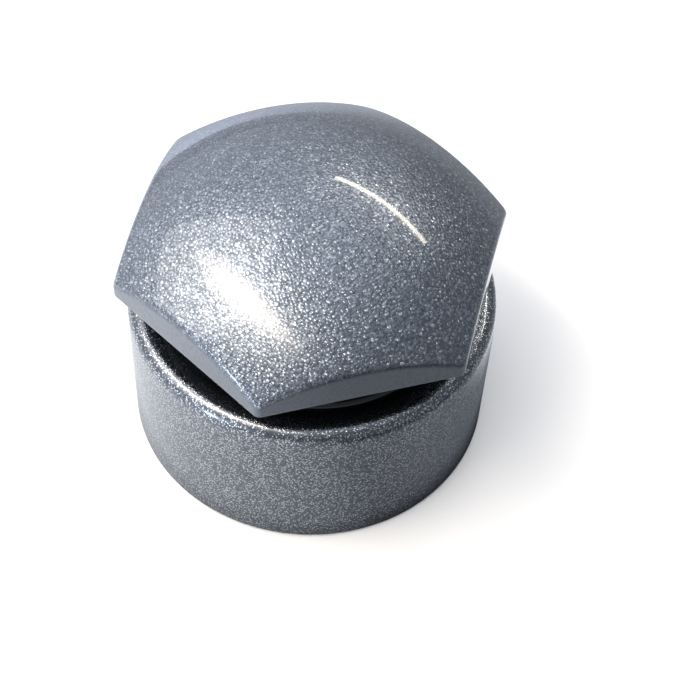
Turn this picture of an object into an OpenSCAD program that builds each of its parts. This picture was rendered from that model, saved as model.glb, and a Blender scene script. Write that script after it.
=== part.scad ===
// Cover cap for a hexagonal wheel bolt or nut, moulded in one piece.
// A round skirt slips over the bolt head, a narrow neck leaves a groove for the pulling clip,
// and a domed hexagonal head closes the top. Six tongues inside the skirt grip the flats.
// The rim stands on z = 0, the axis is Z, and two corners of the head lie on the X axis.

/* [Bolt] */
// Width across the flats of the bolt head that the cap covers
bolt_af = 17; // [16:0.5:19]
// Play between the corners of the bolt head and the inside of the skirt
corner_play = 0.3; // [0.2:0.05:0.8]

/* [Skirt] */
// Wall thickness of the skirt
skirt_wall = 1.15; // [0.9:0.05:1.6]
// Height of the skirt, from the rim to the top of the shoulder
skirt_h = 10.95; // [10:0.05:11.5]
// Thickness of the shoulder that closes the skirt around the neck
shoulder_t = 1.3; // [1:0.1:2]
// Rounding of the shoulder's outer edge
shoulder_r = 0.9; // [0.5:0.05:1.4]
// Rounding of the rim's outer edge
rim_r = 0.3; // [0.1:0.05:0.4]
// Lead-in chamfer on the rim's inner edge
rim_chamfer = 0.35; // [0.1:0.05:0.6]

/* [Head] */
// Width across the flats of the domed head
head_af = 20.9; // [20:0.1:21.5]
// Overall height of the cap, from the rim to the top of the dome
cap_h = 19.5; // [19:0.1:22]
// Radius of the dome
dome_r = 16.8; // [16:0.1:22]
// Rounding where the dome rolls over into the side faces, and of the six upright corners
edge_r = 0.5; // [0.3:0.05:0.7]
// Thickness of the roof under the dome
roof_t = 1.5; // [1:0.1:2.5]

/* [Neck] */
// Height of the groove between the shoulder and the head
groove_h = 2.55; // [1.6:0.05:2.9]
// How far the groove is cut in behind the flats of the head
groove_depth = 1.45; // [1:0.05:1.8]
// Wall thickness of the neck
neck_wall = 1.3; // [1:0.1:2]
// Rounding of the two inner edges of the groove
groove_r = 0.4; // [0.2:0.05:0.6]

/* [Tongues] */
// Width of one tongue
tongue_w = 4.8; // [3:0.1:5]
// Thickness of one tongue
tongue_t = 0.9; // [0.7:0.05:1]
// Gap between a tongue and the flat of the bolt head
tongue_play = 0.1; // [0.05:0.05:0.2]
// How far the tongues end above the rim
tongue_recess = 0.8; // [0.4:0.1:2]
// How far the grip ridge stands out from a tongue
ridge_h = 0.25; // [0.15:0.05:0.3]
// Radius of the grip ridge
ridge_r = 0.6; // [0.4:0.1:0.8]
// Height of the grip ridge above the tongue's free end
ridge_z = 2.2; // [1.5:0.1:4]
// Bevel that leads the bolt head in between the tongues
lead_in = 0.5; // [0.2:0.05:0.6]

/* [Hidden] */
$fn = 96;

flats = 6;
half_flat = 180 / flats;
overlap = 0.5;

cavity_r = bolt_af / 2 / cos(half_flat) + corner_play;
cavity_top = skirt_h - shoulder_t;
skirt_r = cavity_r + skirt_wall;

head_z = skirt_h + groove_h;
apothem = head_af / 2;
dome_z = cap_h - dome_r;

neck_r = apothem - groove_depth;
hollow_r = neck_r - neck_wall;

tongue_in = bolt_af / 2 + tongue_play;

// Corner of a square with its inner side rounded away, to be cut from an outer edge
module edge_cutter(r) {
    difference() {
        square(r + overlap);
        circle(r);
    }
}

// Fillet that fills an inner corner at the origin, towards +x and +y
module corner_fill(r) {
    difference() {
        translate([-overlap, -overlap])
            square(r + overlap);
        translate([r, r])
            circle(r);
    }
}

// Half section of the skirt and the neck, without their hollows
module turned_section() {
    difference() {
        square([skirt_r, skirt_h]);
        translate([skirt_r - shoulder_r, skirt_h - shoulder_r])
            edge_cutter(shoulder_r);
        translate([skirt_r - rim_r, rim_r])
            mirror([0, 1])
                edge_cutter(rim_r);
    }
    translate([0, skirt_h - overlap])
        square([neck_r, groove_h + 2 * overlap]);
    translate([neck_r, skirt_h])
        corner_fill(groove_r);
    translate([neck_r, head_z])
        mirror([0, 1])
            corner_fill(groove_r);
}

// Half section of the ball that the dome is cut from, with its two opposite flats:
// x runs away from their common normal and y along it, and edge_r rolls the dome over into them
module flatted_section() {
    roll_y = apothem - edge_r;
    roll_x = sqrt(pow(dome_r - edge_r, 2) - pow(roll_y, 2));
    slope = roll_y / roll_x;
    translate([0, -apothem])
        square([roll_x, 2 * apothem]);
    for (side = [-1, 1])
        translate([roll_x, side * roll_y])
            circle(edge_r);
    intersection() {
        circle(dome_r);
        polygon([[0, 0], [2 * dome_r, -2 * dome_r * slope], [2 * dome_r, 2 * dome_r * slope]]);
    }
}

// The ball with two opposite flats, square to the direction given by angle
module flatted_ball(angle) {
    translate([0, 0, dome_z])
        rotate([0, 90, angle])
            rotate_extrude()
                flatted_section();
}

// Outline of the head with its six corners rounded, a hair wider than the flats
module corner_outline() {
    margin = 0.004;
    corner_at = (apothem + margin - edge_r) / cos(half_flat);
    half_side = (apothem + margin - edge_r) * tan(half_flat);
    circle(corner_at, $fn = flats);
    for (i = [0 : flats - 1])
        rotate(i * 2 * half_flat) {
            translate([corner_at, 0])
                circle(edge_r);
            rotate(half_flat)
                translate([0, -half_side])
                    square([apothem + margin, 2 * half_side]);
        }
}

module head() {
    intersection() {
        translate([0, 0, head_z])
            linear_extrude(cap_h)
                corner_outline();
        flatted_ball(half_flat);
        flatted_ball(half_flat * 3);
        flatted_ball(half_flat * 5);
    }
}

module hollows() {
    translate([0, 0, -overlap])
        cylinder(r = cavity_r, h = cavity_top + overlap);
    translate([0, 0, -overlap])
        cylinder(r1 = cavity_r + rim_chamfer + overlap, r2 = cavity_r, h = rim_chamfer + overlap);
    intersection() {
        cylinder(r = hollow_r, h = cap_h);
        translate([0, 0, dome_z])
            sphere(dome_r - roof_t);
    }
}

// Side view of one tongue, radius along x and height along y
module tongue_section() {
    difference() {
        translate([tongue_in, tongue_recess])
            square([tongue_t, cavity_top - tongue_recess + overlap]);
        translate([tongue_in, tongue_recess])
            polygon([[-lead_in, -lead_in], [lead_in, -lead_in], [-lead_in, lead_in]]);
    }
    intersection() {
        translate([tongue_in - ridge_h + ridge_r, tongue_recess + ridge_z])
            circle(ridge_r);
        translate([0, tongue_recess + lead_in])
            square([tongue_in + tongue_t / 2, cavity_top]);
    }
}

module tongues() {
    for (i = [0 : flats - 1])
        rotate([90, 0, half_flat + i * 2 * half_flat])
            translate([0, 0, -tongue_w / 2])
                linear_extrude(tongue_w)
                    tongue_section();
}

module cap() {
    color("#7d8798") {
        difference() {
            union() {
                rotate_extrude()
                    turned_section();
                head();
            }
            hollows();
        }
        tongues();
    }
}

cap();
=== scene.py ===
import bpy
import numpy as np
from mathutils import Matrix, Vector


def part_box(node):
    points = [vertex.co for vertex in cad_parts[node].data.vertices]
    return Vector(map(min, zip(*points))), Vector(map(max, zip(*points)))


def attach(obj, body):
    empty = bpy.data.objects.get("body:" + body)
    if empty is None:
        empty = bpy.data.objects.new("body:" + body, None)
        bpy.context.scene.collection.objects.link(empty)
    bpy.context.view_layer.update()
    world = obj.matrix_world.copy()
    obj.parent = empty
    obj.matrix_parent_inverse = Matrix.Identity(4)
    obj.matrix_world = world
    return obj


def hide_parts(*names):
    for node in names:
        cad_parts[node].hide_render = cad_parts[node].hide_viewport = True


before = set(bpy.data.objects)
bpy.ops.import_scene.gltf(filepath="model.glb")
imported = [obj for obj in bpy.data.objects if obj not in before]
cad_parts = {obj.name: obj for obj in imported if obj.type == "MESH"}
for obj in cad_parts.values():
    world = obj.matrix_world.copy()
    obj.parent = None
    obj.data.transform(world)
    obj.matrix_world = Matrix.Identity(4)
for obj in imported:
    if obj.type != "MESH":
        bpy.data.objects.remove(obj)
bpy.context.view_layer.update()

# The shell is one injection moulding in ABS: skirt, shoulder, neck and domed hexagonal head.
# It is hollow from below, so that it slips over the bolt head, and every edge left by the mould
# is slightly rounded, because the paint builds up and pulls round there.
mm = 0.001
flats = 6
half_flat = np.radians(180 / flats)

box_low, box_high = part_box("cap")
cap_top = box_high.z
skirt_r = box_high.y

dome_r = 16.8 * mm
apothem = 10.45 * mm
head_z = 13.5 * mm
edge_r = 0.7 * mm
corner_r = 0.5 * mm
lip_r = 0.12 * mm
neck_r = 9.0 * mm
groove_r = 0.4 * mm
shoulder_z = 10.95 * mm
shoulder_r = 0.9 * mm
rim_r = 0.3 * mm
rim_chamfer = 0.35 * mm
cavity_r = 10.115 * mm
cavity_top = 9.65 * mm
hollow_r = 7.7 * mm
roof_t = 1.5 * mm
inner_r = 0.25 * mm


def arc(centre_r, centre_z, radius, start, end, steps):
    """Circle arc in the half plane of radius and height, one column per angle round the axis:
    centre + radius * (cos a, sin a), with a going evenly from start to end, in radians."""
    a = start + (end - start) * np.linspace(0, 1, steps)[:, None]
    a = a * np.ones(columns.size)
    return centre_r + radius * np.cos(a), centre_z + radius * np.sin(a)


def run(r0, z0, r1, z1, steps):
    """Straight run from (r0, z0) to (r1, z1) without its two ends: start + share * (end - start)."""
    share = np.linspace(0, 1, steps + 2)[1:-1, None] * np.ones(columns.size)
    return r0 + (r1 - r0) * share, z0 + (z1 - z0) * share


def head_outline(angle):
    """Distance of the rounded hexagon from the axis at an angle: apothem / cos(a) along a flat,
    a from its middle, and d cos(c) + sqrt(corner_r^2 - (d sin c)^2) round a corner whose centre
    lies at distance d, c from the corner. Corners lie on the X axis."""
    from_flat = (angle % (2 * half_flat)) - half_flat
    centre = (apothem - corner_r) / np.cos(half_flat)
    from_corner = half_flat - np.abs(from_flat)
    bend = centre * np.cos(from_corner) + np.sqrt(corner_r**2 - (centre * np.sin(from_corner)) ** 2)
    meets = np.arctan((apothem - corner_r) * np.tan(half_flat) / apothem)
    return np.where(np.abs(from_flat) < meets, apothem / np.cos(from_flat), bend)


# Angles of the columns: close together at the six corners, wider along the flats
corner_zone = np.radians(1.7)
near_corner = np.linspace(0, corner_zone, 11)
along_flat = np.linspace(corner_zone, 2 * half_flat - corner_zone, 44)[1:-1]
sextant = np.concatenate([near_corner, along_flat, 2 * half_flat - near_corner[:0:-1]])
columns = np.concatenate([sextant + k * 2 * half_flat for k in range(flats)])

dome_z = cap_top - dome_r
side_r = head_outline(columns)
roll_r = side_r - edge_r
roll_z = dome_z + np.sqrt((dome_r - edge_r) ** 2 - roll_r**2)
roll_angle = np.arctan2(roll_z - dome_z, roll_r)
roof_r = dome_r - roof_t
roof_angle = np.arccos(hollow_r / roof_r)
quarter = np.pi / 2
pole_gap = 0.004

# The profile, from the top down the outside to the rim and back up inside. The last number of
# each call is its count of rows.
outside = [
    [part[:-1] for part in arc(0, dome_z, dome_r, quarter - pole_gap, roll_angle, 58)],
    arc(roll_r, roll_z, edge_r, roll_angle, 0, 13),
    run(side_r, roll_z, side_r, head_z + lip_r, 6),
    arc(side_r - lip_r, head_z + lip_r, lip_r, 0, -quarter, 5),
    run(side_r - lip_r, head_z, neck_r + groove_r, head_z, 7),
    arc(neck_r + groove_r, head_z - groove_r, groove_r, quarter, 2 * quarter, 7),
    run(neck_r, head_z - groove_r, neck_r, shoulder_z + groove_r, 4),
    arc(neck_r + groove_r, shoulder_z + groove_r, groove_r, 2 * quarter, 3 * quarter, 7),
    run(neck_r + groove_r, shoulder_z, skirt_r - shoulder_r, shoulder_z, 3),
    arc(skirt_r - shoulder_r, shoulder_z - shoulder_r, shoulder_r, quarter, 0, 15),
    run(skirt_r, shoulder_z - shoulder_r, skirt_r, rim_r, 14),
    arc(skirt_r - rim_r, rim_r, rim_r, 0, -quarter, 7),
]
inside = [
    run(skirt_r - rim_r, 0, cavity_r + rim_chamfer, 0, 1),
    arc(cavity_r + rim_chamfer, rim_chamfer, rim_chamfer, -quarter, -2 * quarter, 6),
    run(cavity_r, rim_chamfer, cavity_r, cavity_top - inner_r, 12),
    arc(cavity_r - inner_r, cavity_top - inner_r, inner_r, 0, quarter, 5),
    run(cavity_r - inner_r, cavity_top, hollow_r + inner_r, cavity_top, 4),
    arc(hollow_r + inner_r, cavity_top + inner_r, inner_r, 3 * quarter, 2 * quarter, 5),
    run(hollow_r, cavity_top + inner_r, hollow_r, dome_z + roof_r * np.sin(roof_angle), 8),
    arc(0, dome_z, roof_r, roof_angle, quarter - pole_gap, 16),
]
outside_rows = sum(len(r) for r, z in outside)
radii = np.concatenate([r for r, z in outside + inside])
heights = np.concatenate([z for r, z in outside + inside])
rows = len(radii)
grid = np.stack([radii * np.cos(columns), radii * np.sin(columns), heights], axis=-1)

# Quads between neighbouring rows, closed round the axis, and a fan of triangles at each pole.
# Material 0 is the paint outside, material 1 the bare plastic inside.
row, column = np.meshgrid(np.arange(rows - 1), np.arange(columns.size), indexing="ij")
after = (column + 1) % columns.size
quads = np.stack([row, row + 1, row + 1, row]) * columns.size + np.stack([column, column, after, after])
quads = quads.reshape(4, -1).T
ring = np.arange(columns.size)
ring_after = (ring + 1) % columns.size
top_pole = rows * columns.size
top_fan = np.stack([np.full_like(ring, top_pole), ring, ring_after]).T
last_row = (rows - 1) * columns.size
roof_fan = np.stack([np.full_like(ring, top_pole + 1), last_row + ring_after, last_row + ring]).T
poles = [[0, 0, cap_top], [0, 0, dome_z + roof_r]]

shell_mesh = bpy.data.meshes.new("moulded_shell")
shell_mesh.from_pydata(
    np.vstack([grid.reshape(-1, 3), poles]).tolist(),
    [],
    quads.tolist() + top_fan.tolist() + roof_fan.tolist(),
)
bare = np.zeros(len(shell_mesh.polygons), np.int32)
bare[: len(quads)] = row.ravel() >= outside_rows
bare[len(quads) + len(top_fan) :] = 1
shell_mesh.polygons.foreach_set("material_index", bare)
shell_mesh.polygons.foreach_set("use_smooth", np.ones(len(shell_mesh.polygons), bool))
shell_mesh.validate()
shell = bpy.data.objects.new("moulded_shell", shell_mesh)
bpy.context.scene.collection.objects.link(shell)


def linear(code):
    """sRGB hex colour as linear red, green, blue and alpha: ((c + 0.055) / 1.055)^2.4, or c / 12.92
    where c is 0.04045 or less."""
    c = np.array([int(code[i : i + 2], 16) for i in (1, 3, 5)]) / 255
    return (*np.where(c > 0.04045, ((c + 0.055) / 1.055) ** 2.4, c / 12.92), 1)


def add_node(tree, kind, inputs=None, **settings):
    """Adds a node with its settings. Inputs go by name or number, each a value or a socket to link."""
    made = tree.nodes.new("ShaderNode" + kind)
    for name, value in settings.items():
        setattr(made, name, value)
    for key, value in (inputs or {}).items():
        if isinstance(value, bpy.types.NodeSocket):
            tree.links.new(value, made.inputs[key])
        else:
            made.inputs[key].default_value = value
    return made


def new_material(name):
    """Empty node material, with its tree and output node."""
    material = bpy.data.materials.new(name)
    material.use_nodes = True
    tree = material.node_tree
    tree.nodes.clear()
    return material, tree, tree.nodes.new("ShaderNodeOutputMaterial")


def ramp(tree, value, start, end, low=0.0, high=1.0, **settings):
    """Socket that goes from low, where value is at start, to high, where it is at end, and stays
    level beyond both."""
    limits = {"From Min": start, "From Max": end, "To Min": low, "To Max": high}
    return add_node(tree, "MapRange", {"Value": value, **limits}, **settings).outputs[0]


def product(tree, first, *factors):
    """Socket with the product of two or more numbers."""
    for factor in factors:
        first = add_node(tree, "Math", {0: first, 1: factor}, operation="MULTIPLY").outputs[0]
    return first


def larger(tree, first, second):
    """Socket with the larger of two numbers."""
    return add_node(tree, "Math", {0: first, 1: second}, operation="MAXIMUM").outputs[0]


def blend(tree, share, first, second):
    """Socket with the first number where share is 0, and the second where it is 1."""
    return add_node(tree, "Mix", {0: share, 2: first, 3: second}).outputs[0]


def blend_colours(tree, share, first, second, **settings):
    """Socket with the first colour where share is 0, and the second where it is 1."""
    inputs = {0: share, 6: first, 7: second}
    return add_node(tree, "Mix", inputs, data_type="RGBA", **settings).outputs[2]


def vector(tree, operation, first, second):
    """Socket with the vector that an operation makes of two vectors, or SCALE of one and a number."""
    second_input = "Scale" if operation == "SCALE" else 1
    return add_node(tree, "VectorMath", {0: first, second_input: second}, operation=operation).outputs[0]


def length(tree, first):
    """Socket with the length of a vector."""
    return add_node(tree, "VectorMath", {0: first}, operation="LENGTH").outputs["Value"]


# The outside is sprayed with metallic car paint: a blue-grey base, aluminium flakes, and a smooth
# glossy clear coat over both. The base colour is darkened over the shoulder towards the groove, and
# is black at the neck: painted shade where the head shades the groove.
paint, tree, out = new_material("clear_coated_metallic_paint")
place = add_node(tree, "TexCoord").outputs["Object"]
normal = add_node(tree, "NewGeometry").outputs["Normal"]
height = add_node(tree, "SeparateXYZ", {"Vector": place}).outputs["Z"]
slope = add_node(tree, "SeparateXYZ", {"Vector": normal}).outputs["Z"]
radius = length(tree, vector(tree, "MULTIPLY", place, (1, 1, 0)))

# below_head is 1 below the head and 0 on it. speckled says how much single flakes show: fully
# below the head and on the dome, and least on the head's narrow upright sides.
head_fade = 0.1 * mm
side_flakes = 0.3
side_slope = 0.1
dome_slope = 0.5
below_head = ramp(tree, height, head_z, head_z - head_fade)
facing_up = ramp(tree, slope, side_slope, dome_slope, side_flakes)
speckled = larger(tree, below_head, facing_up)

# Each cell is a flake. It leans at random and is domed, so that its middle flashes where it
# mirrors the window. Real flakes are about 0.05 mm across: these have the size at which they show.
flake = 0.21 * mm
fine_flake = 0.125 * mm
random_lean = 0.17
least_dome = 0.28
more_dome = 0.7
lean_below_head = 0.8
scale = blend(tree, below_head, 1 / flake, 1 / fine_flake)
cells = add_node(tree, "TexVoronoi", {"Vector": place, "Scale": scale}).outputs
shades = add_node(tree, "SeparateColor", {"Color": cells["Color"]}).outputs
tilt = vector(tree, "SUBTRACT", cells["Color"], (0.5, 0.5, 0.5))
tilt = vector(tree, "SCALE", tilt, random_lean)
domed = {0: shades["Green"], 1: more_dome, 2: least_dome}
domed = add_node(tree, "Math", domed, operation="MULTIPLY_ADD").outputs[0]
from_middle = vector(tree, "SUBTRACT", place, cells["Position"])
dome = vector(tree, "SCALE", from_middle, product(tree, domed, scale))
lean = vector(tree, "ADD", tilt, dome)
lean = vector(tree, "SCALE", lean, blend(tree, below_head, speckled, lean_below_head))
leaning = vector(tree, "ADD", normal, lean)
flake_normal = add_node(tree, "VectorMath", {0: leaning}, operation="NORMALIZE").outputs[0]

# The base is mottled: each grain takes its own tone, less so below the head, where it is darker
grain = 0.1 * mm
head_tone = 0.42
tone_below_head = 0.23
mottle_below_head = 0.3
grains = add_node(tree, "TexVoronoi", {"Vector": place, "Scale": 1 / grain}).outputs
grain_tone = add_node(tree, "SeparateColor", {"Color": grains["Color"]}).outputs["Green"]
even_tone = blend(tree, below_head, head_tone, tone_below_head)
mottle = blend(tree, below_head, speckled, mottle_below_head)
tone = blend(tree, mottle, even_tone, grain_tone)
base = add_node(tree, "ValToRGB", {"Fac": tone})
base.color_ramp.elements[0].color = linear("#3b4149")
base.color_ramp.elements[1].color = linear("#aeb7c2")
base.color_ramp.elements.new(0.6).color = linear("#697079")
# Painted shade: the base colour goes from full on the outer shoulder down to black at the neck, in the
# groove that the head shades
painted_shade_black_r = 9.2 * mm
painted_shade_end_r = 11.0 * mm
groove_painted_shade = blend(tree, below_head, 1.0, ramp(tree, radius, painted_shade_black_r, painted_shade_end_r))
base_with_painted_shade = vector(tree, "SCALE", base.outputs["Color"], groove_painted_shade)

# Some flakes get a painted glint in their middle, up to a distance in cells: a colour several times
# brighter than white, which stands in for the flake catching light. Below the head more of them do,
# with a larger middle, and the brightest painted glints are on the upright wall of the skirt.
painted_glint_size = blend(tree, below_head, 0.5, 0.62)
painted_glint_threshold = blend(tree, below_head, 0.5, 0.1)
upright_slope = 0.15
shoulder_slope = 0.8
# Painted glint strength set by slope: highest on the skirt's upright wall, lower on the shoulder top
skirt_painted_glint = ramp(tree, slope, upright_slope, shoulder_slope, 7.0, 3.4)
painted_glint_strength = blend(tree, below_head, 1.8, skirt_painted_glint)
middle = ramp(tree, cells["Distance"], 0.0, painted_glint_size, 1.0, 0.0)
chosen = ramp(tree, shades["Blue"], painted_glint_threshold, 1.0)
painted_glint = product(tree, chosen, middle, speckled, painted_glint_strength)
dull = blend_colours(tree, below_head, linear("#757c86"), linear("#565b62"))
painted_glint_colour = blend_colours(tree, painted_glint, dull, linear("#e8ecf0"), clamp_factor=False)

# Flakes take an even share of the head, and below it the middles of the cells. Towards the groove
# they fade out, as painted shade under the head.
head_share = 0.55
share_below_head = 0.95
flakes_shaded_out_r = 9.6 * mm
flakes_unshaded_r = 10.6 * mm
groove_flake_painted_shade = ramp(tree, radius, flakes_shaded_out_r, flakes_unshaded_r, 0.0, share_below_head)
share = blend(tree, below_head, head_share, product(tree, groove_flake_painted_shade, middle))
share = product(tree, speckled, share)
coat = {"Metallic": 1.0, "Coat Weight": 1.0, "Coat Roughness": 0.05, "Coat IOR": 1.55}
ground = add_node(tree, "BsdfPrincipled", {"Base Color": base_with_painted_shade, "Roughness": 0.3, **coat})
flake_look = {"Base Color": painted_glint_colour, "Roughness": 0.14, "Normal": flake_normal, **coat}
flakes = add_node(tree, "BsdfPrincipled", flake_look)
mixed = add_node(tree, "MixShader", {0: share, 1: ground.outputs[0], 2: flakes.outputs[0]})
tree.links.new(mixed.outputs[0], out.inputs["Surface"])

# Inside, the ABS is bare as it left the mould: dark grey and satin, with a very fine
# spark-eroded grain. A little paint mist has gone round the rim and thins out above it.
mist_height = 2.0 * mm
spark_grain = 0.12 * mm
grain_depth = 0.01 * mm
abs_plastic, tree, out = new_material("bare_moulded_abs")
place = add_node(tree, "TexCoord").outputs["Object"]
height = add_node(tree, "SeparateXYZ", {"Vector": place}).outputs["Z"]
noise = {"Vector": place, "Scale": 1 / spark_grain, "Detail": 4.0}
speckle = add_node(tree, "TexNoise", noise).outputs["Fac"]
mist = product(tree, ramp(tree, height, 0.0, mist_height, 1.0, 0.0), speckle)
colour = blend_colours(tree, mist, linear("#34373c"), linear("#8b95a4"))
bump = add_node(tree, "Bump", {"Height": speckle, "Strength": 0.25, "Distance": grain_depth})
satin = {"Base Color": colour, "Roughness": 0.42, "Normal": bump.outputs["Normal"]}
abs_shader = add_node(tree, "BsdfPrincipled", satin)
tree.links.new(abs_shader.outputs[0], out.inputs["Surface"])

shell_mesh.materials.append(paint)
shell_mesh.materials.append(abs_plastic)
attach(shell, "root")
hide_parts("cap")

# Six grip tongues hang from the shoulder inside the skirt, one for each flat of the bolt head.
# They are part of the same moulding. A ridge near the free end snaps against the flat,
# and a bevel leads the bolt head in.
tongue_in = 8.6 * mm
tongue_t = 0.9 * mm
tongue_w = 4.8 * mm
tongue_end = 0.8 * mm
lead_in = 0.5 * mm
ridge_r = 0.6 * mm
ridge_h = 0.25 * mm
ridge_z = 3.0 * mm
root_overlap = 0.3 * mm
root = cavity_top + root_overlap


def tongue_section():
    """Side view of a tongue as radius and height: a bar with its inner lower edge bevelled, and a
    ridge that is the part of a circle of radius ridge_r standing ridge_h out of the inner face."""
    spread = np.arccos(1 - ridge_h / ridge_r)
    a = np.linspace(-spread, spread, 9)
    centre = tongue_in + ridge_r - ridge_h
    ridge = np.stack([centre - ridge_r * np.cos(a), ridge_z + ridge_r * np.sin(a)], 1)
    back = tongue_in + tongue_t
    foot = [[back, tongue_end], [tongue_in + lead_in, tongue_end], [tongue_in, tongue_end + lead_in]]
    top = [[tongue_in, root], [back, root]]
    return np.vstack([foot, ridge, top])


section = tongue_section()
across = np.array([-0.5, 0.5]) * tongue_w
outline = np.stack(
    [
        np.repeat(section[None, :, 0], 2, 0),
        np.repeat(across[:, None], len(section), 1),
        np.repeat(section[None, :, 1], 2, 0),
    ],
    axis=-1,
).reshape(-1, 3)
size = len(section)
around = np.arange(size)
walls = np.stack([around, (around + 1) % size, (around + 1) % size + size, around + size], 1)
points = []
faces = []
for k in range(flats):
    turn = half_flat * (2 * k + 1)
    spin = np.array([[np.cos(turn), np.sin(turn), 0], [-np.sin(turn), np.cos(turn), 0], [0, 0, 1]])
    points.append(outline @ spin)
    start = k * 2 * size
    faces += (walls + start).tolist()
    faces.append((around[::-1] + start).tolist())
    faces.append((around + start + size).tolist())
tongue_mesh = bpy.data.meshes.new("grip_tongues")
tongue_mesh.from_pydata(np.vstack(points).tolist(), [], faces)
tongue_mesh.validate()
tongues = bpy.data.objects.new("grip_tongues", tongue_mesh)
bpy.context.scene.collection.objects.link(tongues)
soften = tongues.modifiers.new("mould_edges", "BEVEL")
soften.width = 0.1 * mm
soften.segments = 2
soften.limit_method = "ANGLE"
soften.angle_limit = np.radians(35)
tongue_mesh.materials.append(abs_plastic)
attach(tongues, "root")
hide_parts("cap")

# The floor is a sheet of smooth white card, and the cap stands on it loose. It keeps the cap's
# soft shadow. A faint glow, seen by the camera alone or through glass, brings it up to white.
reach = 1.2
floor_mesh = bpy.data.meshes.new("white_card")
floor_corners = [(-reach, -reach, 0), (reach, -reach, 0), (reach, reach, 0), (-reach, reach, 0)]
floor_mesh.from_pydata(floor_corners, [], [(0, 1, 2, 3)])
floor = bpy.data.objects.new("white_card", floor_mesh)
bpy.context.scene.collection.objects.link(floor)
camera_glow = 0.095
card, tree, out = new_material("white_card_on_table")
place = add_node(tree, "TexCoord").outputs["Object"]
spot = add_node(tree, "SeparateXYZ", {"Vector": place}).outputs
path = add_node(tree, "LightPath").outputs
seen = larger(tree, path["Is Camera Ray"], path["Is Transmission Ray"])
seen = product(tree, seen, camera_glow)

# In the paint's reflections the card is greyer, with painted shade in front and a painted contact
# shadow close round the rim
front_painted_shade = ramp(tree, spot["Y"], -45 * mm, -22 * mm, 0.3)
rim_painted_shadow = ramp(tree, length(tree, place), 11.2 * mm, 12.4 * mm, 0.15)
mirrored_shaded_tone = vector(tree, "SCALE", linear("#8b9097")[:3], product(tree, front_painted_shade, rim_painted_shadow))
tone = blend_colours(tree, path["Is Glossy Ray"], linear("#f0f0f0"), mirrored_shaded_tone)
lit = add_node(tree, "BsdfDiffuse", {"Color": tone})

# Three painted sheens, a glow that only the paint's reflections of the card show: a bluish one
# behind that fades to the right, a white one on the left, which both end at the card's back edge,
# and a narrow white one on the right
back_y = 95 * mm
painted_sheen_strength = 0.8
sheen_before_back_edge = ramp(tree, spot["Y"], back_y + 2 * mm, back_y)
behind_painted_sheen = ramp(tree, spot["Y"], 25 * mm, 70 * mm)
behind_fade = ramp(tree, spot["X"], 34 * mm, -12 * mm, 0.0, 1.5)
behind_painted_sheen = product(tree, behind_painted_sheen, behind_fade, sheen_before_back_edge)
left_painted_sheen = product(tree, ramp(tree, spot["X"], 2 * mm, -24 * mm, 0.0, 1.25), sheen_before_back_edge)
right_start = ramp(tree, spot["X"], 13 * mm, 17 * mm, 0.0, 1.1)
right_end = ramp(tree, spot["X"], 31 * mm, 22 * mm)
right_front = ramp(tree, spot["Y"], -9 * mm, -1 * mm)
right_back = ramp(tree, spot["Y"], 26 * mm, 18 * mm)
right_painted_sheen = product(tree, right_start, right_end, right_front, right_back)
bluish = vector(tree, "SCALE", linear("#d4e0fb")[:3], behind_painted_sheen)
whitish = vector(tree, "SCALE", linear("#f4f7fc")[:3], left_painted_sheen)
painted_sheen = vector(tree, "ADD", vector(tree, "MAXIMUM", bluish, whitish), right_painted_sheen)
# Painted sheen: the glow is given to reflected rays alone, so the paint mirrors bright patches of card
painted_sheen = vector(tree, "SCALE", painted_sheen, product(tree, path["Is Glossy Ray"], painted_sheen_strength))
glow = add_node(tree, "Emission", {"Color": vector(tree, "ADD", painted_sheen, seen)})
both = add_node(tree, "AddShader", {0: lit.outputs[0], 1: glow.outputs[0]})
tree.links.new(both.outputs[0], out.inputs["Surface"])
floor_mesh.materials.append(card)


# Daylight comes from a window high on the left, and a thin strip light stands behind on the right.
# Both lamps face the middle of the head from half a metre away.
lamp_aim = Vector((0, 0, 12 * mm))
lamp_distance = 0.5


def direction(azimuth, elevation):
    """Unit vector (sin a cos e, -cos a cos e, sin e) of an azimuth and an elevation in degrees."""
    a, e = np.radians([azimuth, elevation])
    return Vector((np.sin(a) * np.cos(e), -np.cos(a) * np.cos(e), np.sin(e)))


def lamp(name, azimuth, elevation, width, depth, watts, tint):
    """Rectangular soft lamp that faces lamp_aim from lamp_distance away, its width level."""
    back = direction(azimuth, elevation)
    data = bpy.data.lights.new(name, "AREA")
    data.shape = "RECTANGLE"
    data.size = width
    data.size_y = depth
    data.energy = watts
    data.color = linear(tint)[:3]
    made = bpy.data.objects.new(name, data)
    made.location = lamp_aim + back * lamp_distance
    made.rotation_mode = "QUATERNION"
    made.rotation_quaternion = back.to_track_quat("Z", "Y")
    bpy.context.scene.collection.objects.link(made)


lamp("window", azimuth=-117, elevation=49, width=0.44, depth=0.44, watts=0.86, tint="#fff9f0")
lamp("strip", azimuth=131, elevation=43.5, width=0.34, depth=0.017, watts=0.27, tint="#fff4e2")

# The world is the room: plain pale light, brighter towards the window, and white to the camera.
# Soft patches in it are what the paint mirrors beside the lamps.
world = bpy.data.worlds.new("studio")
bpy.context.scene.world = world
world.use_nodes = True
tree = world.node_tree
tree.nodes.clear()
towards = add_node(tree, "TexCoord").outputs["Generated"]


def along(axis):
    """Part of the viewed direction that lies along an axis."""
    dot = {0: towards, 1: axis}
    return add_node(tree, "VectorMath", dot, operation="DOT_PRODUCT").outputs["Value"]


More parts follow.
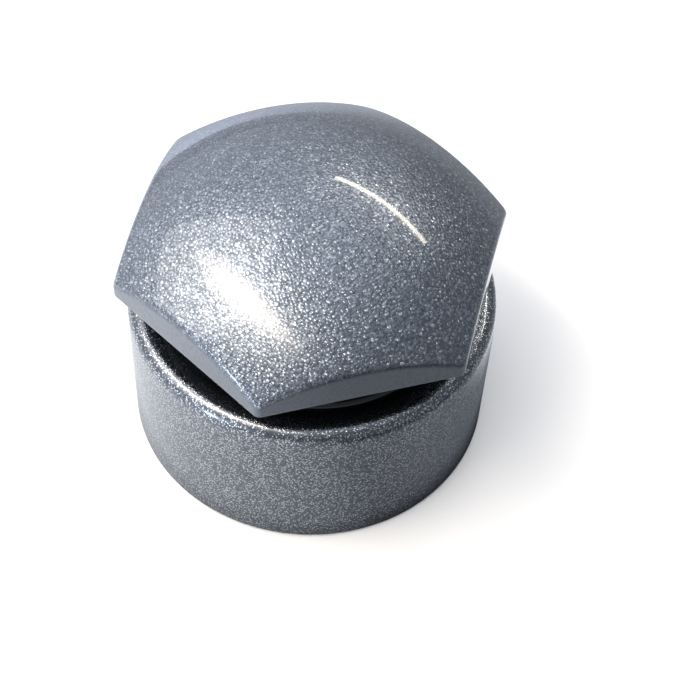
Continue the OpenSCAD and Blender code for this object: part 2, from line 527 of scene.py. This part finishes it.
def sky_patch(sky, azimuth, elevation, twist, half_width, half_height, strength, tint):
    """Sky colour plus a soft elliptic patch: strength * smooth(1 - q), where q is
    sqrt((d . u / half_width)^2 + (d . v / half_height)^2) for a direction d, with u and v the
    patch's own level and upright directions, turned by twist in degrees."""
    centre = direction(azimuth, elevation)
    level = direction(azimuth + 90, 0)
    upright = centre.cross(level)
    t = np.radians(twist)
    u = (level * np.cos(t) + upright * np.sin(t)) / half_width
    v = (upright * np.cos(t) - level * np.sin(t)) / half_height
    q = length(tree, add_node(tree, "CombineXYZ", {"X": along(u), "Y": along(v)}).outputs[0])
    shape = ramp(tree, q, 0.0, 1.0, strength, 0.0, interpolation_type="SMOOTHSTEP")
    ahead = add_node(tree, "Math", {0: along(centre), 1: 0.0}, operation="GREATER_THAN").outputs[0]
    patch = vector(tree, "SCALE", linear(tint)[:3], product(tree, shape, ahead))
    return vector(tree, "ADD", sky, patch)


bright_side = along(direction(-135, 50))
room = ramp(tree, bright_side, 0.0, 0.9, 0.36, 1.2, interpolation_type="SMOOTHSTEP")
sky = vector(tree, "SCALE", linear("#ecf2fc")[:3], room)
# Azimuth, elevation, twist, half width, half height, strength and tint of each patch: the window's
# wide glow, its hot middle, a low glow that an edge of the head mirrors, the strip light's soft
# surround, and the wall below the window
for patch in [
    (-82, 56, 26, 0.72, 0.34, 2.1, "#fff0dc"),
    (-92, 62, 24, 0.64, 0.135, 16.0, "#fff0dc"),
    (-67, 10, 0, 0.1, 0.28, 17.0, "#e6f0ff"),
    (131, 43.5, 0, 0.37, 0.09, 1.5, "#fff4e2"),
    (-60, 16, 0, 0.5, 0.3, 1.6, "#f6f8ff"),
]:
    sky = sky_patch(sky, *patch)
to_camera = add_node(tree, "LightPath").outputs["Is Camera Ray"]
shown = blend_colours(tree, to_camera, sky, (1, 1, 1, 1))
background = add_node(tree, "Background", {"Color": shown})
tree.links.new(background.outputs[0], add_node(tree, "OutputWorld").inputs["Surface"])

# The camera stands in front and a little to the left, looking down at the cap at 55 degrees.
# Place, lens and roll come from a fit of the cap's own outlines to the photograph.
camera_azimuth = -16.37
camera_elevation = 54.96
camera_distance = 110.03 * mm
camera_aim = Vector((2.368, -0.799, 4.446)) * mm
camera_roll = np.radians(3.80)
camera_data = bpy.data.cameras.new("camera")
camera_data.sensor_width = 36
camera_data.lens = 85.83
camera_data.clip_start = 0.005
camera_data.clip_end = 10
camera = bpy.data.objects.new("camera", camera_data)
bpy.context.scene.collection.objects.link(camera)
camera.location = camera_distance * direction(camera_azimuth, camera_elevation)
look = (camera_aim - camera.location).to_track_quat("-Z", "Y").to_matrix().to_4x4()
turned = look @ Matrix.Rotation(camera_roll, 4, "Z")
camera.rotation_euler = turned.to_euler()
bpy.context.scene.camera = camera
bpy.context.scene.view_settings.view_transform = "Standard"
